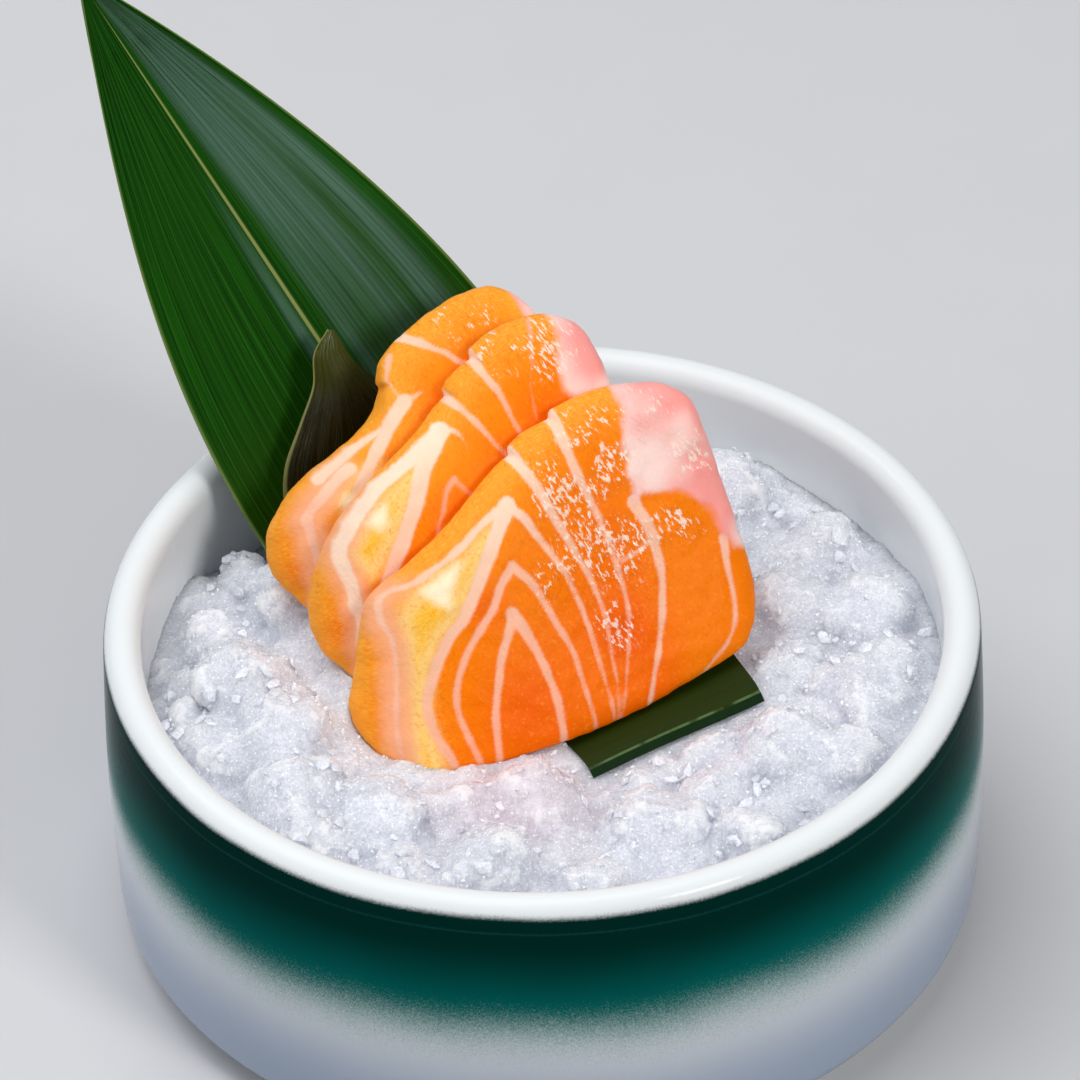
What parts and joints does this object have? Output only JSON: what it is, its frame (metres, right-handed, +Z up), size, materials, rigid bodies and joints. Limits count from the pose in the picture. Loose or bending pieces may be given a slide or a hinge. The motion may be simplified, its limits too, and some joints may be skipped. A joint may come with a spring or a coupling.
{
  "type": "salmon sashimi on crushed ice in a bowl",
  "caption": "Salmon sashimi slices leaning on a bed of crushed ice in a straight-walled glazed bowl, with a tall bamboo leaf behind.",
  "frame": {"origin": "middle of the bowl's flat foot, on the surface that it stands on", "axes": "+Z up; -Y towards the side that the front slice faces; +X to its right"},
  "size_m": [0.1526, 0.1518, 0.1429],
  "materials": {
    "glaze": "glossy white glaze with a sprayed dark green band below the rim that fades to white",
    "ice": "wet, cloudy, granular crushed ice",
    "salmon": "wet glossy orange flesh with pale fat seams",
    "leaf": "satin green with fine parallel veins and a pale midrib",
    "dark_leaf": "glossy dark olive"
  },
  "bodies": {
    "root": {"bowl": "glaze", "ice": "ice", "salmon_front": "salmon", "salmon_middle": "salmon", "salmon_back": "salmon", "leaf_tall": "leaf", "leaf_dark": "dark_leaf", "leaf_strip": "dark_leaf"}
  },
  "joints": []
}
